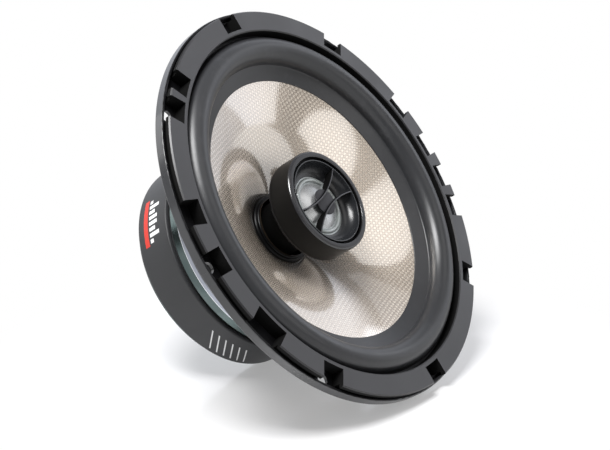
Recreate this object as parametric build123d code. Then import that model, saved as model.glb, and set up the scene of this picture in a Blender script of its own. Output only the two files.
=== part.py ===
"""Coaxial car speaker, 165 mm class: a woofer with a fixed tweeter on a post in front of its neck.

Every piece is drawn as it stands on a bench with its face up: the speaker's axis is local Z,
heights are measured from the back of the mounting flange, and the front is positive.
The finished pieces are then tipped forward so that the face looks along -Y and +Z is up.
"""

import os

from build123d import *

# Front: mounting flange, notched trim ring and rubber surround
FLANGE_R = 83.2
FLANGE_INNER_R = 70.0
SHEET = 1.2
RIM_HEIGHT = 4.0
HOLE_CIRCLE_R = 79.0
HOLE_R = 2.4
HOLE_COUNT = 8
FIRST_HOLE_DEG = 19.3
RING_FRONT = 7.1
RING_INNER_R = 73.5
RING_OUTER_R = 82.3
RING_OVERHANG = 5.1
RING_BODY_R = 80.6
NOTCH_INNER_R = 75.2
NOTCH_WIDTH = 9.7
WIDE_NOTCH_WIDTH = 14.4
WIDE_NOTCH_DEG = 220.7
EXTRA_NOTCHES_DEG = (8.4, 34.0, 145.0, 185.1, 358.1)
FOOT_R = 75.1
ROLL_OUTER_R = 72.1
ROLL_INNER_R = 61.4
ROLL_CREST = 7.7
LIP_R = 55.4
RUBBER = 0.8

# Basket behind the flange
SHOULDER_DROP = 8.0
SHELF_R = 49.0
SHELF_BACK = -30.0
CUP_R = 44.5
CUP_BACK = -36.0
CUP_HOLE_R = 18.0
SPOKE_COUNT = 6
SPOKE_HALF_DEG = 5.5
WINDOW_INNER_R = 51.0
WINDOW_OUTER_R = 68.6
WINDOW_CORNER_R = 2.5
BASKET_RIVET_CIRCLE_R = 27.0
BASKET_RIVET_R = 2.0
BASKET_RIVET_COUNT = 4

# Moving cone and voice coil
NECK_R = 14.4
NECK_HEIGHT = -23.5
CONE_R = 61.5
CONE_EDGE_HEIGHT = -0.3
CONE_BULGE = 3.1
CONE_THICKNESS = 0.7
FORMER_R = 12.75
FORMER_OUTER_R = 12.93
FORMER_BACK = -48.0
WINDING_R = 13.7
WINDING_LENGTH = 10.0
SPIDER_R = 48.4
SPIDER_CLOTH = 0.5
SPIDER_WAVES = 6
SPIDER_WAVE_HEIGHT = 0.9
SPIDER_CREST_R = 0.6

# Magnet system
TOP_PLATE_R = 43.4
TOP_PLATE_BACK = -40.5
GAP_R = 14.25
POLE_R = 12.4
MAGNET_R = 42.0
MAGNET_BORE_R = 18.0
BACK_PLATE_FRONT = -56.0
BACK_PLATE_R = 42.2
REAR = -61.8
POLE_BORE_R = 3.2
NUT_WELL_R = 7.6
NUT_WELL_FRONT = -56.6
WIRE_SLOT_WIDTH = 4.0
WIRE_SLOT_FRONT = -59.8
BOOT_R = 44.5
BOOT_FRONT = -41.6
BOOT_BACK = -58.7

# Tweeter on its post
POST_R = 11.0
POST_TUBE_R = 3.0
POST_TUBE_FRONT = -20.0
POST_TUBE_BACK = -60.0
WIRE_BORE_R = 1.9
HOUSING_R = 21.2
HOUSING_BACK = -9.0
HOUSING_FRONT = 4.6
MOUTH_R = 18.7
LEDGE = -1.45
TWEETER_YOKE_R = 12.4
TWEETER_YOKE_BACK = -7.9
TWEETER_YOKE_FRONT = -2.4
DOME_R = 9.8
DOME_SEAT = -1.2
DOME_APEX = 1.4
DOME_FOIL = 0.2
DOME_CLEARANCE = 0.65
HORN_R = 17.1
HORN_FRONT = 4.0
HORN_LIP = 0.5
GROOVE_FLOOR = 1.5
PLUG_R = 5.4
PLUG_FRONT = 2.9
PLUG_BACK = 2.0
VANE_THICKNESS = 0.7
VANE_FRONT = 4.0
VANE_BACK = -0.6
VANE_ENDS_DEG = (54.0, 194.0)
VANE_MIDDLE_DEG = 124.0
VANE_MIDDLE_R = 2.4

# Terminal side, above the axis
BOARD_INNER_Y = 47.0
BOARD_OUTER_Y = 62.0
BOARD_WIDTH = 28.0
BOARD_THICKNESS = 1.6
TAB_X = 9.3
TAB_THICKNESS = 0.8
TAB_INNER_Y = 51.6
TAB_OUTER_Y = 68.5
POSITIVE_TAB_WIDTH = 4.8
NEGATIVE_TAB_WIDTH = 2.8
TAB_RIVET_Y = 56.5
BOARD_RIVET_Y = 54.0
CAPACITOR_R = 4.2
CAPACITOR_LENGTH = 15.0
CAPACITOR_Y = 54.5
CAPACITOR_HEIGHT = -37.2
WIRE_R = 0.6
TINSEL_R = 0.6


def turned(corners, rounding=0.0):
    """Solid turned about the axis from a closed outline of (radius, height) corners."""
    if rounding:
        outline = FilletPolyline(*corners, radius=rounding, close=True)
    else:
        outline = Polyline(*corners, close=True)
    return revolve(make_face(Plane.XZ * outline), Axis.Z)


def turned_edges(*edges):
    """Solid turned about the axis from joined (radius, height) edges."""
    outline = Curve() + list(edges)
    return revolve(make_face(Plane.XZ * outline), Axis.Z)


def pipe(inner_r, outer_r, back, front):
    """Plain ring between two radii and two heights."""
    return turned([(inner_r, back), (outer_r, back), (outer_r, front), (inner_r, front)])


def rod(radius, back, front, x=0.0, y=0.0):
    """Plain round bar parallel to the axis."""
    length = front - back
    return Pos(x, y, back) * Cylinder(radius, length, align=(Align.CENTER, Align.CENTER, Align.MIN))


def block(x0, x1, y0, y1, back, front):
    """Rectangular block between two corners."""
    return Pos(x0, y0, back) * Box(x1 - x0, y1 - y0, front - back, align=Align.MIN)


def wire_along(points, radius, bend):
    """Round wire along straight runs joined by bends."""
    path = FilletPolyline(*points, radius=bend)
    return sweep(Plane(origin=path @ 0, z_dir=path % 0) * Circle(radius), path=path)


def every(count, first_deg=0.0):
    """Equal angles round the axis, in degrees."""
    return [first_deg + 360.0 * i / count for i in range(count)]


def polar(radius, degrees, height=0.0):
    """Point at a radius and an angle round the axis."""
    return Rot(0, 0, degrees) * Pos(radius, 0, height)


def cone_profile(drop):
    """Arc of the cone's wall from neck to rim, lowered by the given amount."""
    neck = (NECK_R, NECK_HEIGHT - drop)
    rim = (CONE_R, CONE_EDGE_HEIGHT - drop)
    middle = ((NECK_R + CONE_R) / 2 - CONE_BULGE * 0.45, (neck[1] + rim[1]) / 2 + CONE_BULGE * 0.9)
    return neck, middle, rim


def make_basket():
    """Pressed steel frame: flange with rolled rim, shoulder, six spokes, shelf and magnet cup."""
    shoulder = -SHOULDER_DROP
    shelf_front = SHELF_BACK + SHEET
    cup_front = CUP_BACK + SHEET
    body = turned(
        [
            (FLANGE_R, 0),
            (FLANGE_INNER_R + SHEET, 0),
            (FLANGE_INNER_R + SHEET, shoulder),
            (SHELF_R, SHELF_BACK),
            (CUP_R, SHELF_BACK),
            (CUP_R, CUP_BACK),
            (CUP_HOLE_R, CUP_BACK),
            (CUP_HOLE_R, cup_front),
            (CUP_R - SHEET, cup_front),
            (CUP_R - SHEET, shelf_front),
            (SHELF_R - SHEET / 2, shelf_front),
            (FLANGE_INNER_R, shoulder + SHEET / 2),
            (FLANGE_INNER_R, SHEET),
            (FLANGE_R - SHEET, SHEET),
            (FLANGE_R - SHEET, RIM_HEIGHT),
            (FLANGE_R, RIM_HEIGHT),
        ],
        rounding=0.45,
    )
    window_deg = 360.0 / SPOKE_COUNT - 2 * SPOKE_HALF_DEG
    window = pipe(WINDOW_INNER_R, WINDOW_OUTER_R, SHELF_BACK - 5, shoulder + 6)
    wedge = Rot(0, 0, -window_deg / 2) * Solid.make_cylinder(
        FLANGE_R, 40, Plane((0, 0, SHELF_BACK - 5)), window_deg
    )
    window = window & wedge
    upright = window.edges().filter_by(Axis.Z)
    window = fillet(upright, WINDOW_CORNER_R)
    for angle in every(SPOKE_COUNT):
        body -= Rot(0, 0, angle) * window
    ear = block(-5.2, 5.2, BOARD_INNER_Y, BOARD_RIVET_Y + 4.5, SHELF_BACK, shelf_front)
    body += ear
    body -= rod(1.5, SHELF_BACK - 1, shelf_front + 1, y=BOARD_RIVET_Y)
    for angle in every(HOLE_COUNT, FIRST_HOLE_DEG):
        body -= polar(HOLE_CIRCLE_R, angle) * rod(HOLE_R, -1, SHEET + 1)
    for angle in every(BASKET_RIVET_COUNT, 45):
        body -= polar(BASKET_RIVET_CIRCLE_R, angle) * rod(BASKET_RIVET_R, CUP_BACK - 1, cup_front + 1)
    return body


def make_front_ring():
    """Black trim ring that clamps the surround, with notches over the screw holes."""
    foot_top = SHEET + 0.9
    ring = turned(
        [
            (RING_INNER_R, foot_top),
            (RING_INNER_R, RING_FRONT - 0.4),
            (RING_INNER_R + 0.4, RING_FRONT),
            (RING_OUTER_R - 0.5, RING_FRONT),
            (RING_OUTER_R, RING_FRONT - 0.5),
            (RING_OUTER_R, RING_OVERHANG),
            (RING_BODY_R, RING_OVERHANG),
            (RING_BODY_R, SHEET),
            (FOOT_R + 0.05, SHEET),
            (FOOT_R + 0.05, foot_top),
        ]
    )
    inner_lip = pipe(1.0, NOTCH_INNER_R, SHEET - 1, RING_FRONT + 2)
    notches = [(angle, NOTCH_WIDTH) for angle in every(HOLE_COUNT, FIRST_HOLE_DEG)]
    notches += [(angle, NOTCH_WIDTH) for angle in EXTRA_NOTCHES_DEG]
    notches.append((WIDE_NOTCH_DEG, WIDE_NOTCH_WIDTH))
    for angle, width in notches:
        gap = block(70, 90, -width / 2, width / 2, SHEET - 1, RING_FRONT + 2) - inner_lip
        ring -= Rot(0, 0, angle) * gap
    return ring


def make_cone():
    """Woven glass-fibre cone, a gently bowed wall of even thickness."""
    front = cone_profile(0.0)
    back = cone_profile(CONE_THICKNESS)
    return turned_edges(
        ThreePointArc(*front), Line(front[2], back[2]), ThreePointArc(*back), Line(back[0], front[0])
    )


def make_surround(cone):
    """Rubber half-roll edge, clamped outside by its foot and glued inside on the cone."""
    middle_r = (ROLL_OUTER_R + ROLL_INNER_R) / 2
    foot_top = SHEET + 0.9
    outside = ThreePointArc((ROLL_OUTER_R, foot_top), (middle_r, ROLL_CREST), (ROLL_INNER_R, 0.9))
    under_outer = (ROLL_OUTER_R - RUBBER, SHEET)
    under_inner = (ROLL_INNER_R + RUBBER, 0.4)
    inside = ThreePointArc(under_outer, (middle_r, ROLL_CREST - RUBBER), under_inner)
    lip = (LIP_R, -1.45)
    lip_bottom = (LIP_R, -2.4)
    edge = turned_edges(
        Line(under_outer, (FOOT_R, SHEET)),
        Line((FOOT_R, SHEET), (FOOT_R, foot_top)),
        Line((FOOT_R, foot_top), (ROLL_OUTER_R, foot_top)),
        outside,
        Line((ROLL_INNER_R, 0.9), lip),
        Line(lip, lip_bottom),
        Line(lip_bottom, (CONE_R + 0.1, -0.7)),
        Line((CONE_R + 0.1, -0.7), under_inner),
        inside,
    )
    bonded = edge - cone
    return max(bonded.solids(), key=lambda solid: solid.volume)


def make_spider():
    """Corrugated cloth suspension from the coil former out to the basket shelf."""
    shelf_front = SHELF_BACK + SHEET
    steps = 4 * SPIDER_WAVES
    start_r = 16.0
    end_r = CUP_R - SHEET
    pitch = (end_r - start_r) / steps
    swing = [0, 1, 0, -1]
    middle = shelf_front + SPIDER_CLOTH / 2
    line = [
        (start_r + i * pitch, middle + SPIDER_WAVE_HEIGHT * swing[i % 4]) for i in range(steps + 1)
    ]
    line = [(FORMER_OUTER_R, middle)] + line + [(SPIDER_R - 1.0, middle)]
    upper = [(r, h + SPIDER_CLOTH / 2) for r, h in line]
    lower = [(r, h - SPIDER_CLOTH / 2) for r, h in reversed(line)]
    crests = [0 if h == middle else SPIDER_CREST_R for _, h in line]
    return turned(upper + lower, rounding=crests + crests[::-1])


def make_yoke():
    """Forged back plate and pole in one, bored for the post tube, with a wire slot at the rear."""
    body = turned(
        [
            (POLE_BORE_R, CUP_BACK),
            (POLE_R - 0.4, CUP_BACK),
            (POLE_R, CUP_BACK - 0.4),
            (POLE_R, BACK_PLATE_FRONT),
            (BACK_PLATE_R, BACK_PLATE_FRONT),
            (BACK_PLATE_R, REAR + 1.0),
            (BACK_PLATE_R - 1.0, REAR),
            (NUT_WELL_R, REAR),
            (NUT_WELL_R, NUT_WELL_FRONT),
            (POLE_BORE_R, NUT_WELL_FRONT),
        ]
    )
    half = WIRE_SLOT_WIDTH / 2
    return body - block(-half, half, 0, BACK_PLATE_R + 2, REAR - 1, WIRE_SLOT_FRONT)


def make_boot():
    """Rubber cover that hugs the magnet, open at the back."""
    return turned(
        [
            (BACK_PLATE_R, BOOT_BACK),
            (BOOT_R, BOOT_BACK),
            (BOOT_R, BOOT_FRONT),
            (BACK_PLATE_R, BOOT_FRONT),
        ],
        rounding=0.8,
    )


def make_housing():
    """Tweeter shell: a short drum with a rounded rim, a mouth and a pocket for the motor."""
    corners = [
        (WIRE_BORE_R, HOUSING_BACK),
        (HOUSING_R, HOUSING_BACK),
        (HOUSING_R, HOUSING_FRONT),
        (MOUTH_R, HOUSING_FRONT),
        (MOUTH_R, LEDGE),
        (TWEETER_YOKE_R, LEDGE),
        (TWEETER_YOKE_R, TWEETER_YOKE_BACK),
        (WIRE_BORE_R, TWEETER_YOKE_BACK),
    ]
    return turned(corners, rounding=[0, 3.6, 1.7, 0.3, 0, 0, 0, 0])


def make_horn():
    """Glossy bowl in the tweeter's mouth, with a lip set off from the rim by a groove."""
    throat_r = TWEETER_YOKE_R + 0.2
    lip_r = HORN_R + HORN_LIP
    return turned_edges(
        Line((throat_r, DOME_SEAT), (MOUTH_R, DOME_SEAT)),
        Line((MOUTH_R, DOME_SEAT), (MOUTH_R, GROOVE_FLOOR)),
        Line((MOUTH_R, GROOVE_FLOOR), (lip_r, GROOVE_FLOOR)),
        Line((lip_r, GROOVE_FLOOR), (lip_r, HORN_FRONT)),
        Line((lip_r, HORN_FRONT), (HORN_R, HORN_FRONT)),
        ThreePointArc((HORN_R, HORN_FRONT), (HORN_R - 1.0, 0.8), (throat_r, DOME_SEAT + 0.2)),
        Line((throat_r, DOME_SEAT + 0.2), (throat_r, DOME_SEAT)),
    )


def make_phase_plug(horn):
    """Centre plug held in front of the dome by two curved vanes that run from side to side."""
    plug = turned(
        [
            (0, PLUG_BACK),
            (PLUG_R - 0.6, PLUG_BACK),
            (PLUG_R, PLUG_BACK + 0.4),
            (PLUG_R, PLUG_FRONT - 0.4),
            (PLUG_R - 0.4, PLUG_FRONT),
            (0, PLUG_FRONT),
        ]
    )
    first, last = (polar(HORN_R + 0.3, angle) for angle in VANE_ENDS_DEG)
    middle = polar(VANE_MIDDLE_R, VANE_MIDDLE_DEG)
    arc = ThreePointArc(first.position, middle.position, last.position)
    vane = Pos(0, 0, VANE_BACK) * extrude(trace(arc, line_width=VANE_THICKNESS), VANE_FRONT - VANE_BACK)
    rise = DOME_APEX - DOME_SEAT
    ball_r = cap_radius(DOME_R, rise)
    vane -= Pos(0, 0, DOME_APEX - ball_r) * Sphere(ball_r + DOME_CLEARANCE)
    vane -= rod(TWEETER_YOKE_R + 0.6, VANE_BACK - 1, 0.1)
    plug += vane
    plug += Rot(0, 0, 180) * vane
    return plug - horn


def cap_radius(edge_r, rise):
    """Radius of the ball whose cap has the given edge radius and rise."""
    return (edge_r**2 + rise**2) / (2 * rise)


def make_cap(edge_r, rise):
    """Solid spherical cap standing on the dome seat."""
    ball_r = cap_radius(edge_r, rise)
    middle_r = edge_r / 2
    middle_rise = rise - ball_r + (ball_r**2 - middle_r**2) ** 0.5
    apex = (0, DOME_SEAT + rise)
    return turned_edges(
        Line((0, DOME_SEAT), (edge_r, DOME_SEAT)),
        ThreePointArc((edge_r, DOME_SEAT), (middle_r, DOME_SEAT + middle_rise), apex),
        Line(apex, (0, DOME_SEAT)),
    )


def make_dome():
    """Thin metal dome, a shallow cap of even foil."""
    rise = DOME_APEX - DOME_SEAT
    return make_cap(DOME_R, rise) - make_cap(DOME_R - DOME_FOIL, rise - DOME_FOIL)


def make_dome_surround():
    """Small half-roll round the dome, with a flat flange that sits on the housing ledge."""
    flange_r = TWEETER_YOKE_R + 2.0
    return turned_edges(
        Line((DOME_R, LEDGE), (DOME_R, DOME_SEAT)),
        Line((DOME_R, DOME_SEAT), (DOME_R + 0.3, DOME_SEAT)),
        ThreePointArc((DOME_R + 0.3, DOME_SEAT), (11.1, -0.45), (12.0, DOME_SEAT)),
        Line((12.0, DOME_SEAT), (flange_r, DOME_SEAT)),
        Line((flange_r, DOME_SEAT), (flange_r, LEDGE)),
        Line((flange_r, LEDGE), (11.8, LEDGE)),
        ThreePointArc((11.8, LEDGE), (11.1, -0.75), (DOME_R + 0.5, LEDGE)),
        Line((DOME_R + 0.5, LEDGE), (DOME_R, LEDGE)),
    )


def make_terminal_board():
    """Insulating board behind the basket's ear."""
    half = BOARD_WIDTH / 2
    back = SHELF_BACK - BOARD_THICKNESS
    board = block(-half, half, BOARD_INNER_Y, BOARD_OUTER_Y, back, SHELF_BACK)
    corners = board.edges().filter_by(Axis.Z)
    board = fillet(corners, 1.5)
    board -= rod(1.5, back - 1, SHELF_BACK + 1, y=BOARD_RIVET_Y)
    for x in (-TAB_X, TAB_X):
        board -= rod(1.0, back - 1, SHELF_BACK + 1, x, TAB_RIVET_Y)
    return board


def make_terminal(x, width):
    """Blade terminal with a tapered tip and a rivet hole."""
    half = width / 2
    tip = TAB_OUTER_Y
    outline = Polyline(
        (x - half, TAB_INNER_Y),
        (x + half, TAB_INNER_Y),
        (x + half, tip - 1.2),
        (x + half - 0.7, tip),
        (x - half + 0.7, tip),
        (x - half, tip - 1.2),
        close=True,
    )
    blade = Pos(0, 0, SHELF_BACK) * extrude(make_face(outline), TAB_THICKNESS)
    blade -= rod(1.0, SHELF_BACK - 1, SHELF_BACK + 2, x, TAB_RIVET_Y)
    return blade - rod(0.7, SHELF_BACK - 1, SHELF_BACK + 2, x, tip - 3.4)


def headed_rivet(x, y, shank_r, head_r, head, back, front):
    """Rivet with a head on each face of the stack it holds."""
    shank = rod(shank_r, back, front, x, y)
    return shank + rod(head_r, front, front + head, x, y) + rod(head_r, back - head, back, x, y)


def make_tinsel(side):
    """Flexible braid from the cone's neck out to a terminal."""
    x = side * TAB_X
    tab_front = SHELF_BACK + TAB_THICKNESS
    path = Spline(
        (side * 3.8, 14.85, -25.7),
        (side * 6.0, 25.0, -24.0),
        (side * 8.4, 37.0, -24.0),
        (x, 48.5, -23.8),
        (x, TAB_INNER_Y + 2.6, tab_front + TINSEL_R + 0.02),
    )
    return sweep(Plane(origin=path @ 0, z_dir=path % 0) * Circle(TINSEL_R), path=path)


def make_post_tube():
    """Hollow threaded tube that ties the post to the yoke and carries the tweeter's wires."""
    return pipe(WIRE_BORE_R, POST_TUBE_R, POST_TUBE_BACK, POST_TUBE_FRONT)


def make_post():
    """Black post between the pole and the tweeter housing."""
    body = turned(
        [
            (WIRE_BORE_R, HOUSING_BACK),
            (WIRE_BORE_R, POST_TUBE_FRONT),
            (POST_TUBE_R, POST_TUBE_FRONT),
            (POST_TUBE_R, CUP_BACK),
            (POST_R - 0.6, CUP_BACK),
            (POST_R, CUP_BACK + 0.6),
            (POST_R, HOUSING_BACK - 3.0),
            (POST_R + 2.6, HOUSING_BACK),
        ]
    )
    return body


def make_tweeter_lead(side):
    """Thin insulated wire from the tweeter, through the post, across the yoke and up to the board."""
    x = side * 0.8
    slot = WIRE_SLOT_FRONT - 1.1
    outside_y = BOOT_R + WIRE_R + 0.3
    start = [(x, 0, TWEETER_YOKE_BACK - 0.05), (x, 0, slot), (x, outside_y, slot)]
    if side < 0:
        route = start + [
            (x, outside_y, -33.9),
            (-TAB_X, 48.4, -33.9),
            (-TAB_X, TAB_RIVET_Y, -33.9),
            (-TAB_X, TAB_RIVET_Y, -32.4),
        ]
        return wire_along(route, WIRE_R, [1.2, 1.2, 1.2, 1.2, 0.7])
    route = start + [
        (x, outside_y, -43.6),
        (x, CAPACITOR_Y, -43.6),
        (-9.7, CAPACITOR_Y, -43.6),
        (-9.7, CAPACITOR_Y, CAPACITOR_HEIGHT),
    ]
    return wire_along(route, WIRE_R, [1.2, 1.2, 1.2, 1.2, 1.2])


def make_capacitor():
    """Film capacitor that keeps bass out of the tweeter."""
    body = Rot(0, 90, 0) * Cylinder(CAPACITOR_R, CAPACITOR_LENGTH)
    rims = body.edges().filter_by(GeomType.CIRCLE)
    return Pos(0, CAPACITOR_Y, CAPACITOR_HEIGHT) * fillet(rims, 0.6)


def make_capacitor_leads():
    """Bare leads: one to the positive terminal, one to the tweeter wire."""
    end_x = CAPACITOR_LENGTH / 2
    long_lead = wire_along(
        [
            (end_x, CAPACITOR_Y, CAPACITOR_HEIGHT),
            (TAB_X + 0.2, CAPACITOR_Y, CAPACITOR_HEIGHT),
            (TAB_X, TAB_RIVET_Y, -32.4),
        ],
        0.35,
        0.8,
    )
    stub_length = 9.7 - WIRE_R - end_x
    stub = Pos(-end_x - stub_length / 2, CAPACITOR_Y, CAPACITOR_HEIGHT) * (
        Rot(0, 90, 0) * Cylinder(0.35, stub_length)
    )
    return [long_lead, stub]


def make_nut():
    """Hexagon nut in the well at the rear."""
    nut = extrude(RegularPolygon(5.4, 6), 2.4) - rod(POST_TUBE_R, -1, 4)
    return Pos(0, 0, NUT_WELL_FRONT - 3.2) * nut


def build_parts():
    """All pieces by name, face up."""
    board_back = SHELF_BACK - BOARD_THICKNESS
    tab_front = SHELF_BACK + TAB_THICKNESS
    winding_middle = (CUP_BACK + TOP_PLATE_BACK) / 2
    winding_half = WINDING_LENGTH / 2
    cone = make_cone()
    horn = make_horn()
    plug = make_phase_plug(horn)
    top_plate = turned(
        [
            (GAP_R, TOP_PLATE_BACK),
            (TOP_PLATE_R, TOP_PLATE_BACK),
            (TOP_PLATE_R, CUP_BACK),
            (GAP_R, CUP_BACK),
        ],
        rounding=0.4,
    )
    for angle in every(BASKET_RIVET_COUNT, 45):
        top_plate -= polar(BASKET_RIVET_CIRCLE_R, angle) * rod(BASKET_RIVET_R, CUP_BACK - 3, CUP_BACK + 1)
    cup_front = CUP_BACK + SHEET
    basket_rivet = rod(BASKET_RIVET_R, CUP_BACK - 3, cup_front) + rod(3.4, cup_front, cup_front + 1.0)
    collar = turned(
        [
            (FORMER_OUTER_R, -27.2),
            (NECK_R - 0.5, -27.2),
            (NECK_R, -26.7),
            (NECK_R, -22.9),
            (NECK_R - 0.35, -22.5),
            (NECK_R - 0.7, -22.5),
            (NECK_R - 0.7, -21.6),
            (NECK_R - 1.0, -21.3),
            (FORMER_OUTER_R, -21.3),
        ]
    )
    return {
        "basket": make_basket(),
        "front_ring": make_front_ring(),
        "surround": make_surround(cone),
        "cone": cone,
        "neck_collar": collar,
        "voice_coil_former": pipe(FORMER_R, FORMER_OUTER_R, FORMER_BACK, -20.9),
        "voice_coil_winding": pipe(
            FORMER_OUTER_R, WINDING_R, winding_middle - winding_half, winding_middle + winding_half
        ),
        "spider": make_spider(),
        "tinsel_lead_positive": make_tinsel(1),
        "tinsel_lead_negative": make_tinsel(-1),
        "terminal_board": make_terminal_board(),
        "terminal_positive": make_terminal(TAB_X, POSITIVE_TAB_WIDTH),
        "terminal_negative": make_terminal(-TAB_X, NEGATIVE_TAB_WIDTH),
        "terminal_rivets": [
            headed_rivet(x, TAB_RIVET_Y, 1.0, 1.35, 0.5, board_back, tab_front) for x in (-TAB_X, TAB_X)
        ],
        "board_rivet": headed_rivet(0, BOARD_RIVET_Y, 1.5, 2.6, 0.7, board_back, SHELF_BACK + SHEET),
        "crossover_capacitor": make_capacitor(),
        "capacitor_leads": make_capacitor_leads(),
        "top_plate": top_plate,
        "ferrite_magnet": turned(
            [
                (MAGNET_BORE_R, BACK_PLATE_FRONT),
                (MAGNET_R, BACK_PLATE_FRONT),
                (MAGNET_R, TOP_PLATE_BACK),
                (MAGNET_BORE_R, TOP_PLATE_BACK),
            ],
            rounding=0.6,
        ),
        "yoke": make_yoke(),
        "magnet_boot": make_boot(),
        "basket_rivets": [
            polar(BASKET_RIVET_CIRCLE_R, angle) * basket_rivet for angle in every(BASKET_RIVET_COUNT, 45)
        ],
        "tweeter_post": make_post(),
        "tweeter_housing": make_housing(),
        "tweeter_horn": horn,
        "phase_plug": plug,
        "tweeter_dome": make_dome(),
        "dome_surround": make_dome_surround(),
        "tweeter_coil_former": pipe(DOME_R - DOME_FOIL, DOME_R, -4.6, DOME_SEAT),
        "tweeter_coil_winding": pipe(DOME_R, DOME_R + 0.3, -4.0, -1.9),
        "tweeter_pole_plate": rod(DOME_R - 0.4, -3.4, TWEETER_YOKE_FRONT),
        "tweeter_magnet": rod(DOME_R - 0.9, -6.4, -3.4),
        "tweeter_yoke": turned(
            [
                (0, TWEETER_YOKE_BACK),
                (TWEETER_YOKE_R, TWEETER_YOKE_BACK),
                (TWEETER_YOKE_R, TWEETER_YOKE_FRONT),
                (DOME_R + 0.6, TWEETER_YOKE_FRONT),
                (DOME_R + 0.6, -6.4),
                (0, -6.4),
            ]
        ),
        "post_tube": make_post_tube(),
        "post_washer": pipe(POST_TUBE_R + 0.15, 6.6, NUT_WELL_FRONT - 0.8, NUT_WELL_FRONT),
        "post_nut": make_nut(),
        "tweeter_lead_positive": make_tweeter_lead(1),
        "tweeter_lead_negative": make_tweeter_lead(-1),
    }


os.makedirs("parts", exist_ok=True)
FACE_FORWARD = Rot(90, 0, 0)
for node, shape in build_parts().items():
    solids = []
    for piece in shape if isinstance(shape, list) else [shape]:
        solids.extend((FACE_FORWARD * piece).solids())
    export_step(Compound(children=solids, label=node), f"parts/{node}.step")
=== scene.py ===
"""Looks for the coaxial car speaker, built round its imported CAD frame."""

import math

import bmesh
import bpy
import numpy as np
from mathutils import Matrix, Vector


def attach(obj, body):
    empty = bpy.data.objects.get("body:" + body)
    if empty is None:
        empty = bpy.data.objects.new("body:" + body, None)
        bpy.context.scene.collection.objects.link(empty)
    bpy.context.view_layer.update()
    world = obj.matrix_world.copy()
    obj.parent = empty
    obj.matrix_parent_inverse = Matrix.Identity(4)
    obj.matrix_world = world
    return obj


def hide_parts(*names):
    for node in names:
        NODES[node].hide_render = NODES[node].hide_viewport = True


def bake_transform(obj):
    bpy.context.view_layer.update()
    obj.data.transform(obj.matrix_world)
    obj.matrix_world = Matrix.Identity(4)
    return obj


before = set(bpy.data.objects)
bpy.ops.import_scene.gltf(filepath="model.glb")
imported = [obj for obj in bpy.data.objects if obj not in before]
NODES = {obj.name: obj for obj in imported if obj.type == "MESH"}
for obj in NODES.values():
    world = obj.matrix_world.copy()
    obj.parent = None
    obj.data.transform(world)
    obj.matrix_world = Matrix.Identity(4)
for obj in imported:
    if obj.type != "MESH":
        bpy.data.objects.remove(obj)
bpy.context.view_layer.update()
MM = 0.001
TAU = 2 * math.pi

# ---------------------------------------------------------------- sizes, in millimetres, as in the CAD
NECK_R, NECK_H = 14.4, -23.5
CONE_R, CONE_H = 61.5, -0.3
CONE_THICK = 0.7
CONE_BULGE = 3.1
FORMER_R = 12.93
FOOT_R, FOOT_BACK, FOOT_FRONT = 75.1, 1.25, 2.1
ROLL_OUTER, ROLL_CREST, ROLL_INNER = (72.1, 2.1), (66.75, 7.7), (61.4, 0.9)
UNDER_INNER, UNDER_CREST, UNDER_OUTER = (62.2, 0.4), (66.75, 6.9), (71.3, 1.2)
LIP = (55.4, -1.45)
SPIDER_INNER_R, SPIDER_OUTER_R, SPIDER_HEIGHT, SPIDER_HALF = 13.0, 47.4, -28.55, 0.22
SPIDER_WAVES_R, SPIDER_PITCH, SPIDER_SWING = (16.0, 43.3), 4.55, 0.75
HOUSING_R, HOUSING_BACK, HOUSING_FRONT = 21.2, -9.0, 4.6
MOUTH_R, LEDGE = 18.7, -1.45
MOTOR_R, MOTOR_BACK = 12.4, -7.9
WIRE_BORE_R = 1.9
POST_R, POST_BACK = 11.0, -36.0
POST_TUBE_R, POST_TUBE_FRONT = 3.0, -20.0
DOME_R, DOME_SEAT, DOME_RISE = 9.8, -1.2, 2.6
DOME_FOIL = 0.2
DOME_CLEARANCE = 0.65
HORN_R, HORN_FRONT, HORN_LIP = 17.1, 4.0, 0.5
THROAT_R, GROOVE_FLOOR = 12.6, 1.5
PLUG_R, PLUG_BACK, PLUG_FRONT = 5.4, 2.0, 2.9
VANE_FRONT = 4.0
VANE_HALF_BACK, VANE_HALF_FRONT = 0.38, 0.3
VANE_ENDS_DEG, VANE_MIDDLE_DEG, VANE_MIDDLE_R = (54.0, 194.0), 124.0, 2.4
TINSEL_R = 0.6
TINSEL_STOPS = [
    (3.8, 14.85, -25.7),
    (6.0, 25.0, -24.0),
    (8.4, 37.0, -24.0),
    (9.3, 48.5, -23.8),
    (9.3, 54.2, -28.58),
]
YARN = 1.15
WEAVE_TURN_DEG = 76.0


# ---------------------------------------------------------------- mesh helpers
def arc_points(corner, before, after, radius, steps):
    """Points of the arc that rounds a corner between its two neighbours."""
    c, a, b = (np.array(p, float) for p in (corner, before, after))
    u, v = a - c, b - c
    lu, lv = np.linalg.norm(u), np.linalg.norm(v)
    u, v = u / lu, v / lv
    cosine = float(np.clip(u @ v, -1, 1))
    half = math.acos(cosine) / 2
    if half > math.radians(88) or radius <= 0:
        return [tuple(c)]
    back = min(radius / math.tan(half), 0.48 * lu, 0.48 * lv)
    p0, p1 = c + u * back, c + v * back
    radius = back * math.tan(half)
    centre = c + (u + v) / np.linalg.norm(u + v) * (radius / math.sin(half))
    a0, a1 = p0 - centre, p1 - centre
    turn = math.atan2(a0[0] * a1[1] - a0[1] * a1[0], float(a0 @ a1))
    out = []
    for i in range(steps + 1):
        t = turn * i / steps
        out.append(
            (
                centre[0] + a0[0] * math.cos(t) - a0[1] * math.sin(t),
                centre[1] + a0[0] * math.sin(t) + a0[1] * math.cos(t),
            )
        )
    return out


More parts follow.
